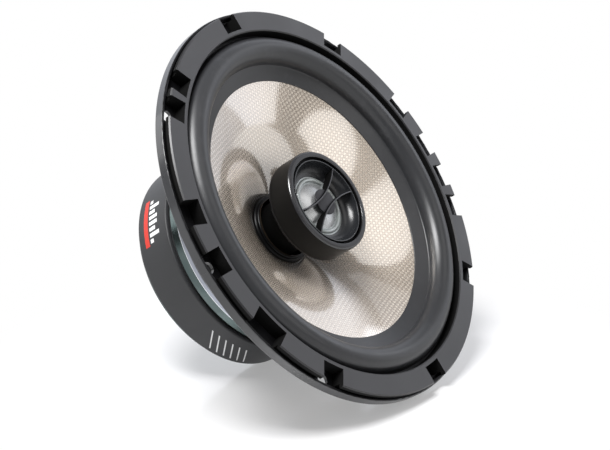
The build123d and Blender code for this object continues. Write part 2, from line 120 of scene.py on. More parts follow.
def rounded(corners, radii, steps):
    """Closed outline with every corner rounded by its own radius."""
    out = []
    for i, (corner, radius) in enumerate(zip(corners, radii)):
        out += arc_points(corner, corners[i - 1], corners[(i + 1) % len(corners)], radius, steps)
    return out


def three_point_arc(a, m, b, steps):
    """Points on the circle through three points, from a to b."""
    ax, ay, bx, by, cx, cy = *a, *m, *b
    d = 2 * (ax * (by - cy) + bx * (cy - ay) + cx * (ay - by))
    ux = ((ax**2 + ay**2) * (by - cy) + (bx**2 + by**2) * (cy - ay) + (cx**2 + cy**2) * (ay - by)) / d
    uy = ((ax**2 + ay**2) * (cx - bx) + (bx**2 + by**2) * (ax - cx) + (cx**2 + cy**2) * (bx - ax)) / d
    t0 = math.atan2(ay - uy, ax - ux)
    tm = (math.atan2(by - uy, bx - ux) - t0) % TAU
    t1 = (math.atan2(cy - uy, cx - ux) - t0) % TAU
    if tm > t1:
        t1 -= TAU
    radius = math.hypot(ax - ux, ay - uy)
    return [
        (ux + radius * math.cos(t0 + t1 * i / steps), uy + radius * math.sin(t0 + t1 * i / steps))
        for i in range(steps + 1)
    ]


def place(r, h, angle):
    """Point of the shared frame, in metres, from radius and height in millimetres and an angle."""
    return (r * math.cos(angle) * MM, -h * MM, r * math.sin(angle) * MM)


def new_object(name, verts, faces, smooth=True):
    """Mesh object with merged points and outward normals."""
    mesh = bpy.data.meshes.new(name)
    mesh.from_pydata(verts, [], faces)
    mesh.validate()
    bm = bmesh.new()
    bm.from_mesh(mesh)
    bmesh.ops.remove_doubles(bm, verts=bm.verts, dist=1e-7)
    bmesh.ops.recalc_face_normals(bm, faces=bm.faces)
    bm.to_mesh(mesh)
    bm.free()
    for polygon in mesh.polygons:
        polygon.use_smooth = smooth
    obj = bpy.data.objects.new(name, mesh)
    bpy.context.scene.collection.objects.link(obj)
    return obj


def lathe(name, outline, segments=192, sharp_deg=38):
    """Closed (radius, height) outline turned about the axis."""
    count = len(outline)
    verts, faces = [], []
    for s in range(segments):
        angle = TAU * s / segments
        verts += [place(max(r, 0.0), h, angle) for r, h in outline]
    for s in range(segments):
        n = (s + 1) % segments
        for i in range(count):
            j = (i + 1) % count
            if outline[i][0] < 1e-6 and outline[j][0] < 1e-6:
                continue
            faces.append((s * count + i, s * count + j, n * count + j, n * count + i))
    obj = new_object(name, verts, faces)
    mark_sharp(obj, sharp_deg)
    return obj


def mark_sharp(obj, degrees):
    """Edges folded more than this stay crisp."""
    limit = math.radians(degrees)
    bm = bmesh.new()
    bm.from_mesh(obj.data)
    for edge in bm.edges:
        if len(edge.link_faces) == 2 and edge.calc_face_angle(0.0) > limit:
            edge.smooth = False
    bm.to_mesh(obj.data)
    bm.free()


def stand_for(obj, node, look):
    """obj is drawn in place of a CAD node, in one of the materials."""
    obj.data.materials.append(MATERIALS[look])
    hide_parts(node)


def bend_by_radius(obj):
    """Bakes obj's placement into its mesh and reads its points back; nothing is bent."""
    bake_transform(obj)
    co = np.zeros(len(obj.data.vertices) * 3, np.float32)
    obj.data.vertices.foreach_get("co", co)
    co = co.reshape(-1, 3)


# ---------------------------------------------------------------- material helpers
class NodeTree:
    """Small helper that adds and joins nodes of one tree."""

    def __init__(self, owner):
        owner.use_nodes = True
        self.tree = owner.node_tree
        self.tree.nodes.clear()

    def node(self, kind, **settings):
        made = self.tree.nodes.new(kind)
        for key, value in settings.items():
            setattr(made, key, value)
        return made

    def join(self, source, target):
        self.tree.links.new(source, target)

    def feed(self, value, target):
        if hasattr(value, "is_output"):
            self.join(value, target)
        else:
            target.default_value = value

    def math(self, operation, a, b=0.0, clamp=False):
        made = self.node("ShaderNodeMath", operation=operation, use_clamp=clamp)
        self.feed(a, made.inputs[0])
        self.feed(b, made.inputs[1])
        return made.outputs[0]

    def invert(self, value):
        return self.math("SUBTRACT", 1.0, value)

    def mix(self, factor, a, b):
        """Colour between a and b. Sockets 6, 7 and 2 are the node's colour ones."""
        made = self.node("ShaderNodeMix", data_type="RGBA")
        self.feed(factor, made.inputs["Factor"])
        self.feed(a, made.inputs[6])
        self.feed(b, made.inputs[7])
        return made.outputs[2]

    def remap(self, value, low, high, to_low=0.0, to_high=1.0, easing="LINEAR"):
        made = self.node("ShaderNodeMapRange", interpolation_type=easing)
        self.feed(value, made.inputs["Value"])
        for key, number in (("From Min", low), ("From Max", high), ("To Min", to_low), ("To Max", to_high)):
            made.inputs[key].default_value = number
        return made.outputs[0]

    def smooth_step(self, value, low, high):
        """0 at low, 1 at high, eased at both ends."""
        return self.remap(value, low, high, easing="SMOOTHSTEP")

    def dot(self, vector, other):
        made = self.node("ShaderNodeVectorMath", operation="DOT_PRODUCT")
        self.join(vector, made.inputs[0])
        made.inputs[1].default_value = other
        return made.outputs["Value"]

    def band(self, value, low, high, soft):
        """1 between low and high, fading to 0 over soft just inside each end."""
        rise = self.smooth_step(value, low, low + soft)
        fall = self.smooth_step(value, high - soft, high)
        return self.math("SUBTRACT", rise, fall)


class Shader(NodeTree):
    """Nodes of one principled material."""

    def __init__(self, name):
        self.material = bpy.data.materials.new(name)
        super().__init__(self.material)
        self.out = self.node("ShaderNodeOutputMaterial")
        self.bsdf = self.node("ShaderNodeBsdfPrincipled")
        self.join(self.bsdf.outputs[0], self.out.inputs["Surface"])
        self.coords = self.node("ShaderNodeTexCoord").outputs["Object"]

    def set(self, **values):
        for key, value in values.items():
            self.feed(value, self.bsdf.inputs[key.replace("_", " ")])
        return self

    def split(self, vector=None):
        """X, Y and Z of a vector, or of the place on the object."""
        made = self.node("ShaderNodeSeparateXYZ")
        self.join(vector or self.coords, made.inputs[0])
        return made.outputs

    def normal_y(self, source="Normal"):
        """The surface normal's part along the axis: -1 faces the listener, 1 faces the magnet."""
        return self.split(self.node("ShaderNodeNewGeometry").outputs[source])[1]

    def noise(self, scale, detail=3.0, roughness=0.5, stretch=None):
        """Soft noise, stretched along the object's axes when asked."""
        source = self.coords
        if stretch:
            mapping = self.node("ShaderNodeMapping")
            mapping.inputs["Scale"].default_value = stretch
            self.join(source, mapping.inputs[0])
            source = mapping.outputs[0]
        made = self.node("ShaderNodeTexNoise")
        made.inputs["Scale"].default_value = scale
        made.inputs["Detail"].default_value = detail
        made.inputs["Roughness"].default_value = roughness
        self.join(source, made.inputs["Vector"])
        return made.outputs["Fac"]

    def bump(self, height, strength, distance):
        made = self.node("ShaderNodeBump")
        made.inputs["Strength"].default_value = strength
        made.inputs["Distance"].default_value = distance
        self.join(height, made.inputs["Height"])
        return made.outputs[0]

    def polar(self):
        """(angle in turns, radius in metres, height in metres) round the speaker's axis."""
        x, y, z = self.split()
        angle = self.math("DIVIDE", self.math("ARCTAN2", z, x), TAU)
        radius = self.math("SQRT", self.math("ADD", self.math("MULTIPLY", x, x), self.math("MULTIPLY", z, z)))
        return angle, radius, self.math("MULTIPLY", y, -1.0)


def rgb(r, g, b):
    """Opaque colour."""
    return (r, g, b, 1.0)


def plastic(name, colour, roughness, grain=0.06, grain_scale=2600, coat=0.0, dust=0.25, specular=0.5):
    """Moulded plastic: fine grain, slow sheen changes and a little pale dust."""
    s = Shader(name)
    cloud = s.noise(55, 4)
    fine = s.noise(grain_scale, 2)
    speck = s.noise(900, 6, 0.7)
    pale = s.math("MULTIPLY", s.smooth_step(speck, 0.62, 0.8), dust, clamp=True)
    light = tuple(min(1.0, c * 1.6 + 0.02) for c in colour)
    base = s.mix(cloud, rgb(*colour), rgb(*[c * 1.25 for c in colour]))
    s.set(
        Base_Color=s.mix(pale, base, rgb(*light)),
        Roughness=s.remap(cloud, 0.3, 0.7, roughness - 0.04, roughness + 0.05),
        Normal=s.bump(fine, grain, 0.05 * MM),
        Specular_IOR_Level=specular,
        Coat_Weight=coat,
        Coat_Roughness=0.08,
    )
    return s.material


def metal(name, colour, roughness, tint=None, grain=0.15, lines=(1, 1, 1), metallic=1.0):
    """Plated or bare metal with slow tint changes and fine machining lines."""
    s = Shader(name)
    cloud = s.noise(90, 4)
    fine = s.noise(1500, 3, 0.6, lines)
    base = s.mix(s.smooth_step(cloud, 0.35, 0.7), rgb(*colour), rgb(*(tint or colour)))
    s.set(
        Base_Color=base,
        Metallic=metallic,
        Roughness=s.remap(fine, 0.3, 0.7, roughness - 0.06, roughness + 0.08),
        Normal=s.bump(fine, grain, 0.02 * MM),
    )
    return s.material


# ---------------------------------------------------------------- materials
def weave_material():
    """Clear-coated plain weave of flat glass yarns, laid as a flat cloth before pressing."""
    s = Shader("woven_glass")
    x, _, z = s.split()
    yarn = YARN * MM
    turn = math.radians(WEAVE_TURN_DEG)
    cos_t, sin_t = math.cos(turn), math.sin(turn)
    u = s.math("ADD", s.math("MULTIPLY", x, cos_t / yarn), s.math("MULTIPLY", z, sin_t / yarn))
    v = s.math("ADD", s.math("MULTIPLY", x, -sin_t / yarn), s.math("MULTIPLY", z, cos_t / yarn))
    u = s.math("ADD", u, 500.0)
    v = s.math("ADD", v, 500.0)
    fu, fv = s.math("FRACT", u), s.math("FRACT", v)
    iu, iv = s.math("FLOOR", u), s.math("FLOOR", v)
    over = s.math("MODULO", s.math("ADD", iu, iv), 2.0)
    hu = s.math("SINE", s.math("MULTIPLY", fu, math.pi))
    hv = s.math("SINE", s.math("MULTIPLY", fv, math.pi))
    across_u = s.math("POWER", hu, 0.5)
    across_v = s.math("POWER", hv, 0.5)
    warp = s.math("MULTIPLY", across_u, s.math("ADD", s.math("MULTIPLY", hv, 0.6), 0.4))
    weft = s.math("MULTIPLY", across_v, s.math("ADD", s.math("MULTIPLY", hu, 0.6), 0.4))
    under = s.invert(over)
    height = s.math("ADD", s.math("MULTIPLY", warp, over), s.math("MULTIPLY", weft, under))
    random = s.node("ShaderNodeTexWhiteNoise", noise_dimensions="2D")
    pair = s.node("ShaderNodeCombineXYZ")
    s.join(s.math("MULTIPLY", iu, over), pair.inputs[0])
    s.join(s.math("MULTIPLY", iv, under), pair.inputs[1])
    s.join(pair.outputs[0], random.inputs["Vector"])
    cloud = s.noise(30, 4)
    # Painted sheen: the over and under yarns get a lighter and a darker copy of one glass colour, standing in
    # for how the light catches each yarn direction.
    base = s.mix(over, rgb(0.67, 0.56, 0.46), rgb(0.89, 0.78, 0.655))
    base = s.mix(s.math("MULTIPLY", random.outputs["Value"], 0.2), base, rgb(0.85, 0.78, 0.7))
    # Painted shade: darker towards dark brown where the yarns dip, in the gaps between them.
    base = s.mix(s.remap(height, 0.2, 0.8, 0.5, 0.0), base, rgb(0.14, 0.125, 0.11))
    base = s.mix(s.math("MULTIPLY", cloud, 0.15), base, rgb(0.5, 0.45, 0.38))
    # Painted shade: the cone darkens towards near black near the neck, under the tweeter.
    _, radius, _ = s.polar()
    base = s.mix(s.remap(radius, 14 * MM, 32 * MM, 0.75, 0.0), base, rgb(0.02, 0.016, 0.014))
    along = s.node("ShaderNodeMix", data_type="VECTOR")
    s.join(over, along.inputs["Factor"])
    along.inputs[4].default_value = (cos_t, 0.0, sin_t)
    along.inputs[5].default_value = (-sin_t, 0.0, cos_t)
    s.set(
        Base_Color=base,
        Metallic=0.66,
        Roughness=s.remap(height, 0.0, 1.0, 0.3, 0.22),
        Anisotropic=0.8,
        Tangent=along.outputs[1],
        Normal=s.bump(height, 0.2, 0.12 * MM),
        Coat_Weight=1.0,
        Coat_Roughness=0.04,
        Coat_IOR=2.8,
        Coat_Normal=s.bump(height, 0.04, 0.1 * MM),
    )
    return s.material


def ring_material():
    """Satin trim plastic whose faces catch the light, with matt side walls painted near black as painted
    shade.
    """
    s = Shader("trim_plastic")
    face = s.smooth_step(s.math("ABSOLUTE", s.normal_y("True Normal")), 0.45, 0.85)
    cloud = s.noise(45, 4)
    satin = s.remap(cloud, 0.3, 0.7, 0.32, 0.42)
    fine = s.noise(2400, 2)
    speck = s.smooth_step(s.noise(1100, 6, 0.7), 0.66, 0.8)
    # Painted shade: the side walls get a near-black copy of the face colour.
    base = s.mix(face, rgb(0.006, 0.006, 0.006), rgb(0.03, 0.03, 0.033))
    s.set(
        Base_Color=s.mix(s.math("MULTIPLY", speck, 0.2), base, rgb(0.09, 0.09, 0.095)),
        Roughness=s.math("MAXIMUM", satin, s.remap(face, 0.0, 1.0, 0.65, 0.0)),
        Specular_IOR_Level=s.remap(face, 0.0, 1.0, 0.1, 0.6),
        Normal=s.bump(fine, 0.05, 0.05 * MM),
    )
    return s.material


def tweeter_material():
    """Deep black plastic: matt round the side, polished on the rim that faces the listener, with a painted
    highlight on the rim's rounded edge.
    """
    s = Shader("tweeter_plastic")
    facing = s.math("ABSOLUTE", s.normal_y())
    # Painted highlight and shade: the lighter colour goes fully on the rim's rounded edge, less on the flat
    # face, and near black on the sides.
    face = s.math("MULTIPLY", s.smooth_step(facing, 0.1, 0.6), s.remap(facing, 0.88, 0.99, 1.0, 0.4))
    painted_highlight = s.mix(s.noise(70, 4), rgb(0.018, 0.018, 0.021), rgb(0.026, 0.026, 0.03))
    fine = s.noise(2600, 2)
    s.set(
        Base_Color=s.mix(face, rgb(0.003, 0.003, 0.003), painted_highlight),
        Specular_IOR_Level=s.remap(face, 0.0, 1.0, 0.2, 0.85),
        Roughness=s.remap(face, 0.0, 1.0, 0.42, 0.2),
        Normal=s.bump(fine, 0.03, 0.05 * MM),
    )
    return s.material


def vane_material():
    """Black plastic: flat dark sides and a polished front edge with a painted highlight."""
    s = Shader("vane_plastic")
    # Painted highlight: the front edge gets a lighter colour than the near-black sides.
    edge = s.smooth_step(s.math("MULTIPLY", s.normal_y(), -1.0), 0.35, 0.9)
    painted_highlight = s.mix(s.noise(70, 4), rgb(0.02, 0.02, 0.024), rgb(0.03, 0.03, 0.035))
    s.set(
        Base_Color=s.mix(edge, rgb(0.003, 0.003, 0.003), painted_highlight),
        Specular_IOR_Level=s.remap(edge, 0.0, 1.0, 0.05, 0.6),
        Roughness=s.remap(edge, 0.0, 1.0, 0.6, 0.25),
        Normal=s.bump(s.noise(2600, 2), 0.03, 0.05 * MM),
    )
    return s.material


def basket_material():
    """Pressed steel: dark satin paint, a paler magnet cup with a painted highlight along its bottom edge, and
    a near-black, matt flange face and wall.
    """
    s = Shader("basket_paint")
    _, radius, height = s.polar()
    inside = s.invert(s.smooth_step(radius, 44.8 * MM, 46 * MM))
    behind = s.invert(s.smooth_step(height, -30.3 * MM, -29.9 * MM))
    cup = s.math("MULTIPLY", inside, behind)
    # Painted highlight: a near-white band along the cup's bottom edge.
    corner = s.invert(s.smooth_step(height, -35.7 * MM, -35.3 * MM))
    edge_highlight = s.math("MULTIPLY", corner, s.smooth_step(radius, 43.8 * MM, 44.1 * MM))
    # Near black, with less shine and no coat, on the flange's front face and on a ring at 70.4 to 72.2 mm,
    # which also covers what shows through the flange holes.
    front = s.smooth_step(s.normal_y("True Normal"), -0.7, -0.9)
    near_black_zone = s.math("MULTIPLY", front, s.smooth_step(radius, 70 * MM, 71 * MM))
    near_black_zone = s.math("MAXIMUM", near_black_zone, s.band(radius, 70.4 * MM, 72.2 * MM, 0.3 * MM))
    cloud = s.noise(55, 4)
    fine = s.noise(1500, 2)
    pale = s.math("MULTIPLY", s.smooth_step(s.noise(900, 6, 0.7), 0.62, 0.8), 0.2)
    dark = s.mix(cloud, rgb(0.03, 0.031, 0.034), rgb(0.042, 0.043, 0.047))
    paint = s.mix(pale, s.mix(cup, dark, rgb(0.34, 0.36, 0.42)), rgb(0.09, 0.09, 0.1))
    paint = s.mix(edge_highlight, paint, rgb(0.95, 0.97, 1.0))
    s.set(
        Base_Color=s.mix(near_black_zone, paint, rgb(0.008, 0.008, 0.009)),
        Specular_IOR_Level=s.remap(near_black_zone, 0.0, 1.0, 0.5, 0.15),
        Metallic=s.math("MULTIPLY", cup, 0.8),
        Roughness=s.remap(cloud, 0.3, 0.7, 0.26, 0.34),
        Normal=s.bump(fine, 0.1, 0.05 * MM),
        Coat_Weight=s.remap(near_black_zone, 0.0, 1.0, 0.4, 0.0),
        Coat_Roughness=0.08,
    )
    return s.material


def boot_material():
    """Satin black cover with plain printed marks: level bars on a red bar and a row of slanted strokes."""
    s = Shader("boot_rubber")
    angle, _, height = s.polar()
    cloud = s.noise(60, 4)
    fine = s.noise(2400, 3)
    degrees = s.math("MULTIPLY", angle, 360.0)
    degrees = s.math("ADD", degrees, s.math("MULTIPLY", s.math("LESS_THAN", degrees, 0.0), 360.0))
    mm = s.math("MULTIPLY", height, 1000.0)

    red = s.math("MULTIPLY", s.band(degrees, 145, 173, 0.35), s.band(mm, -55.0, -52.4, 0.15))
    column = s.math("DIVIDE", s.math("SUBTRACT", degrees, 146.0), 3.3)
    inside = s.band(s.math("FRACT", column), 0.12, 0.84, 0.08)
    wave = s.math("ABSOLUTE", s.math("SINE", s.math("MULTIPLY", s.math("FLOOR", column), 1.35)))
    top = s.math("ADD", -49.9, s.math("MULTIPLY", wave, 4.0))
    bars = s.smooth_step(s.math("SUBTRACT", top, mm), 0.0, 0.15)
    for mask in (s.smooth_step(mm, -51.7, -51.55), inside, s.band(degrees, 146.0, 172.4, 0.1)):
        bars = s.math("MULTIPLY", bars, mask)
    slanted = s.math("ADD", degrees, s.math("MULTIPLY", mm, 0.9))
    strokes = s.band(s.math("FRACT", s.math("DIVIDE", slanted, 4.6)), 0.1, 0.34, 0.06)
    for mask in (s.band(mm, -56.6, -47.2, 0.15), s.band(slanted, 184.0, 211.6, 0.2)):
        strokes = s.math("MULTIPLY", strokes, mask)
    base = s.mix(cloud, rgb(0.034, 0.035, 0.037), rgb(0.046, 0.047, 0.05))
    base = s.mix(red, base, rgb(0.62, 0.045, 0.03))
    base = s.mix(s.math("ADD", bars, strokes, clamp=True), base, rgb(0.86, 0.86, 0.86))
    s.set(
        Base_Color=base,
        Roughness=s.remap(cloud, 0.3, 0.7, 0.42, 0.52),
        Normal=s.bump(fine, 0.1, 0.04 * MM),
        Specular_IOR_Level=0.35,
    )
    return s.material


def rubber_material(name, colour, roughness):
    """Satin moulded rubber with faint bloom."""
    s = Shader(name)
    cloud = s.noise(40, 5)
    fine = s.noise(1800, 4, 0.6)
    bloom = s.smooth_step(s.noise(220, 6, 0.65), 0.5, 0.8)
    base = s.mix(s.math("MULTIPLY", bloom, 0.35), rgb(*colour), rgb(*[c * 1.7 + 0.01 for c in colour]))
    s.set(
        Base_Color=base,
        Roughness=s.remap(cloud, 0.3, 0.7, roughness - 0.04, roughness + 0.06),
        Normal=s.bump(fine, 0.12, 0.04 * MM),
    )
    return s.material


def cloth_material(name, colour, dark, yarn):
    """Plain cloth in radial and ring-wise threads, stiffened with resin."""
    s = Shader(name)
    angle, radius, _ = s.polar()
    rings = s.math("SINE", s.math("DIVIDE", radius, yarn * MM / TAU))
    rays = s.math("SINE", s.math("MULTIPLY", angle, TAU * 240))
    height = s.math("MULTIPLY", rings, rays)
    base = s.mix(s.remap(height, -1, 1), rgb(*dark), rgb(*colour))
    s.set(Base_Color=base, Roughness=0.75, Normal=s.bump(height, 0.4, 0.1 * MM))
    return s.material


def braid_material(name, light, dark):
    """Fine plaited metal braid."""
    s = Shader(name)
    wave = s.node("ShaderNodeTexWave", wave_type="BANDS", bands_direction="DIAGONAL")
    wave.inputs["Scale"].default_value = 900
    s.join(s.coords, wave.inputs["Vector"])
    s.set(
        Base_Color=s.mix(wave.outputs["Fac"], rgb(*dark), rgb(*light)),
        Metallic=0.8,
        Roughness=0.4,
        Normal=s.bump(wave.outputs["Fac"], 0.5, 0.1 * MM),
    )
    return s.material


MATERIALS = {
    "weave": weave_material(),
    "boot": boot_material(),
    "surround": rubber_material("surround_rubber", (0.028, 0.029, 0.032), 0.33),
    "ring": ring_material(),
    "basket": basket_material(),
    "collar": plastic("collar_plastic", (0.003, 0.003, 0.0035), 0.33, dust=0.0, specular=0.16),
    "hub": plastic(
        "hub_plastic", (0.02, 0.02, 0.023), 0.4, grain=0.3, grain_scale=1800, dust=0.3, specular=0.3
    ),
    "tweeter": tweeter_material(),
    "gloss": plastic("horn_gloss", (0.014, 0.015, 0.017), 0.26, grain=0.02, dust=0.03),
    "vane": vane_material(),
    "dome": metal("dome_metal", (0.6, 0.61, 0.62), 0.3, (0.54, 0.56, 0.57), 0.05, metallic=0.75),
    "dome_edge": metal("dome_edge_cloth", (0.5, 0.53, 0.53), 0.36, (0.42, 0.46, 0.45), 0.2, metallic=0.5),
    "zinc": metal("zinc_plate", (0.12, 0.15, 0.148), 0.15, (0.085, 0.115, 0.115), 0.6, (0.2, 5, 0.2)),
    "steel": metal("bright_steel", (0.7, 0.7, 0.7), 0.25),
    "brass": metal("terminal_brass", (0.76, 0.7, 0.5), 0.28, (0.68, 0.62, 0.45)),
    "nickel": metal("bright_nickel", (0.72, 0.7, 0.66), 0.12),
    "coil_former": plastic("former_foil", (0.02, 0.014, 0.009), 0.4, dust=0.05),
    "foil": metal("tweeter_foil", (0.7, 0.7, 0.71), 0.3),
    "ferrite": plastic("ferrite", (0.045, 0.045, 0.047), 0.6, grain=0.5, grain_scale=900, dust=0.4),
    "spider": cloth_material("spider_cloth", (0.55, 0.42, 0.22), (0.3, 0.2, 0.09), 0.6),
    "board": plastic("terminal_board", (0.05, 0.035, 0.02), 0.45),
    "sleeve": plastic("capacitor_sleeve", (0.02, 0.035, 0.14), 0.3, grain=0.05, coat=0.3),
    "red": plastic("wire_red", (0.42, 0.02, 0.015), 0.4),
    "black": plastic("wire_black", (0.012, 0.012, 0.012), 0.4),
    "copper": braid_material("copper_wire", (0.7, 0.33, 0.16), (0.35, 0.13, 0.05)),
    "braid": braid_material("tinsel_braid", (0.75, 0.62, 0.45), (0.35, 0.26, 0.16)),
}


# ---------------------------------------------------------------- carried-over CAD nodes
KEPT = {
    "basket": "basket",
    "front_ring": "ring",
    "magnet_boot": "boot",
    "top_plate": "zinc",
    "yoke": "zinc",
    "ferrite_magnet": "ferrite",
    "voice_coil_former": "coil_former",
    "voice_coil_winding": "copper",
    "terminal_board": "board",
    "terminal_positive": "brass",
    "terminal_negative": "brass",
    "terminal_rivets": "brass",
    "board_rivet": "steel",
    "basket_rivets": "steel",
    "crossover_capacitor": "sleeve",
    "capacitor_leads": "steel",
    "tweeter_coil_former": "foil",
    "tweeter_coil_winding": "copper",
    "tweeter_pole_plate": "zinc",
    "tweeter_magnet": "nickel",
    "tweeter_yoke": "zinc",
    "post_tube": "brass",
    "post_washer": "steel",
    "post_nut": "steel",
    "tweeter_lead_positive": "red",
    "tweeter_lead_negative": "black",
}
for node, look in KEPT.items():
    slots = NODES[node].data.materials
    slots.clear()
    slots.append(MATERIALS[look])


# ---------------------------------------------------------------- cone, surround and spider
def cone_wall(drop, steps=56):
    """The cone's bowed wall from neck to rim, lowered by drop."""
    neck = (NECK_R, NECK_H - drop)
    rim = (CONE_R, CONE_H - drop)
    middle = ((NECK_R + CONE_R) / 2 - 0.45 * CONE_BULGE, (neck[1] + rim[1]) / 2 + 0.9 * CONE_BULGE)
    return three_point_arc(neck, middle, rim, steps)


cone = lathe("cone_woven", cone_wall(0.0) + cone_wall(CONE_THICK)[::-1], segments=256)
stand_for(cone, "cone", "weave")
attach(cone, "cone_assembly")

# The roll's first and last points give way to the fillets at its feet.
roll = three_point_arc(ROLL_OUTER, ROLL_CREST, ROLL_INNER, 40)
lip_bottom = [(LIP[0], -2.15), (58.5, -1.2), (61.0, -0.35), (61.6, -0.2)]
surround_outline = (
    [(FOOT_R, FOOT_BACK), (FOOT_R, FOOT_FRONT - 0.05)]
    + arc_points(ROLL_OUTER, (FOOT_R, FOOT_FRONT), roll[3], 0.5, 3)
    + roll[3:-3]
    + arc_points(ROLL_INNER, roll[-4], LIP, 0.7, 5)
    + arc_points(LIP, ROLL_INNER, (LIP[0], -2.3), 0.3, 4)
    + lip_bottom
    + three_point_arc(UNDER_INNER, UNDER_CREST, UNDER_OUTER, 32)
)
surround = lathe("surround_roll", surround_outline, segments=256, sharp_deg=50)
stand_for(surround, "surround", "surround")
bend_by_radius(surround)

waves = []
for i in range(97):
    r = SPIDER_INNER_R + (SPIDER_OUTER_R - SPIDER_INNER_R) * i / 96
    swing = 0.0
    if SPIDER_WAVES_R[0] < r < SPIDER_WAVES_R[1]:
        swing = SPIDER_SWING * math.sin(TAU * (r - SPIDER_WAVES_R[0]) / SPIDER_PITCH)
    waves.append((r, SPIDER_HEIGHT + swing))
spider_outline = [(r, h + SPIDER_HALF) for r, h in waves]
spider_outline += [(r, h - SPIDER_HALF) for r, h in reversed(waves)]
spider = lathe("spider_corrugated", spider_outline, segments=160, sharp_deg=60)
stand_for(spider, "spider", "spider")
bend_by_radius(spider)

collar_corners = [
    (FORMER_R, -27.2),
    (13.9, -27.2),
    (14.38, -26.7),
    (14.38, -22.9),
    (14.05, -22.5),
    (13.7, -22.5),
    (13.7, -21.6),
    (13.4, -21.3),
    (FORMER_R, -21.3),
]
collar_outline = rounded(collar_corners, [0.14] * len(collar_corners), 3)
collar = lathe("neck_collar_rings", collar_outline, segments=160)
stand_for(collar, "neck_collar", "collar")
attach(collar, "cone_assembly")

# ---------------------------------------------------------------- tweeter
housing_outline = rounded(
    [
        (WIRE_BORE_R, HOUSING_BACK),
        (HOUSING_R, HOUSING_BACK),
        (HOUSING_R, HOUSING_FRONT),
        (MOUTH_R, HOUSING_FRONT),
        (MOUTH_R, LEDGE),
        (MOTOR_R, LEDGE),
        (MOTOR_R, MOTOR_BACK),
        (WIRE_BORE_R, MOTOR_BACK),
    ],
    [0, 3.6, 1.1, 0.3, 0, 0, 0, 0],
    10,
)
housing = lathe("tweeter_shell", housing_outline, segments=224)
stand_for(housing, "tweeter_housing", "tweeter")
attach(housing, "frame")

post_outline = rounded(
    [
        (WIRE_BORE_R, HOUSING_BACK),
        (WIRE_BORE_R, POST_TUBE_FRONT),
        (POST_TUBE_R, POST_TUBE_FRONT),
        (POST_TUBE_R, POST_BACK),
        (POST_R - 0.6, POST_BACK),
        (POST_R, POST_BACK + 0.6),
        (POST_R, HOUSING_BACK - 3.0),
        (POST_R + 2.6, HOUSING_BACK),
    ],
    [0, 0, 0, 0, 0.2, 0.2, 2.0, 0],
    5,
)
post = lathe("tweeter_stem", post_outline, segments=160)
stand_for(post, "tweeter_post", "tweeter")
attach(post, "frame")

bowl = three_point_arc((HORN_R, HORN_FRONT), (HORN_R - 1.0, 0.8), (THROAT_R, DOME_SEAT + 0.2), 24)
lip_r = HORN_R + HORN_LIP
horn_outline = (
    [(THROAT_R, DOME_SEAT), (MOUTH_R, DOME_SEAT), (MOUTH_R, GROOVE_FLOOR)]
    + arc_points((lip_r, GROOVE_FLOOR), (MOUTH_R, GROOVE_FLOOR), (lip_r, HORN_FRONT), 0.2, 3)
    + arc_points((lip_r, HORN_FRONT), (lip_r, HORN_FRONT - 1.0), (HORN_R, HORN_FRONT), 0.14, 4)
    + arc_points((HORN_R, HORN_FRONT), (lip_r, HORN_FRONT), bowl[3], 0.14, 4)
    + bowl[3:]
)
horn = lathe("tweeter_bowl", horn_outline, segments=224)
stand_for(horn, "tweeter_horn", "gloss")
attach(horn, "frame")


def cap_height(r, edge_r=DOME_R, rise=DOME_RISE):
    """Height, at a radius, of a spherical cap on the dome's seat; the dome's own cap by default."""
    ball_r = (edge_r**2 + rise**2) / (2 * rise)
    return DOME_SEAT + rise - ball_r + math.sqrt(ball_r**2 - min(r, edge_r) ** 2)


def cap_points(edge_r, rise, steps=28):
    """Outline of a spherical cap on the dome's seat, from the axis to its edge."""
    radii = [edge_r * i / steps for i in range(steps + 1)]
    return [(r, cap_height(r, edge_r, rise)) for r in radii]


def vane(turn_deg):
    """Thin curved vane from side to side of the mouth, its back edge clear of the dome."""
    reach = HORN_R + 0.2
    stops = []
    for radius, degrees in (
        (reach, VANE_ENDS_DEG[0]),
        (VANE_MIDDLE_R, VANE_MIDDLE_DEG),
        (reach, VANE_ENDS_DEG[1]),
    ):
        angle = math.radians(degrees + turn_deg)
        stops.append((radius * math.cos(angle), radius * math.sin(angle)))
    path = three_point_arc(*stops, 48)
    verts, faces = [], []
    for i, (x, z) in enumerate(path):
        before, after = path[max(i - 1, 0)], path[min(i + 1, len(path) - 1)]
        dx, dz = after[0] - before[0], after[1] - before[1]
        length = math.hypot(dx, dz)
        back = max(cap_height(math.hypot(x, z)) + DOME_CLEARANCE, 0.1)
        section = rounded(
            [
                (-VANE_HALF_BACK, back),
                (VANE_HALF_BACK, back),
                (VANE_HALF_FRONT, VANE_FRONT),
                (-VANE_HALF_FRONT, VANE_FRONT),
            ],
            [0, 0, 0.22, 0.22],
            4,
        )
        for offset, height in section:
            verts.append(
                ((x - dz / length * offset) * MM, -height * MM, (z + dx / length * offset) * MM)
            )
    count = len(section)
    for i in range(len(path) - 1):
        for j in range(count):
            k = (j + 1) % count
            faces.append((i * count + j, i * count + k, (i + 1) * count + k, (i + 1) * count + j))
    faces.append(tuple(range(count)))
    last = (len(path) - 1) * count
    faces.append(tuple(last + j for j in reversed(range(count))))
    return verts, faces


plug_outline = rounded(
    [
        (0, PLUG_BACK),
        (PLUG_R - 0.3, PLUG_BACK),
        (PLUG_R, PLUG_BACK + 0.3),
        (PLUG_R, PLUG_FRONT),
        (0, PLUG_FRONT),
    ],
    [0, 0.1, 0.2, 0.3, 0],
    6,
)
plug = lathe("phase_plug_body", plug_outline, segments=96)
stand_for(plug, "phase_plug", "hub")
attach(plug, "frame")
for turn in (0, 180):
    blade = new_object(f"phase_vane_{turn}", *vane(turn))
    mark_sharp(blade, 50)
    stand_for(blade, "phase_plug", "vane")
    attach(blade, "frame")

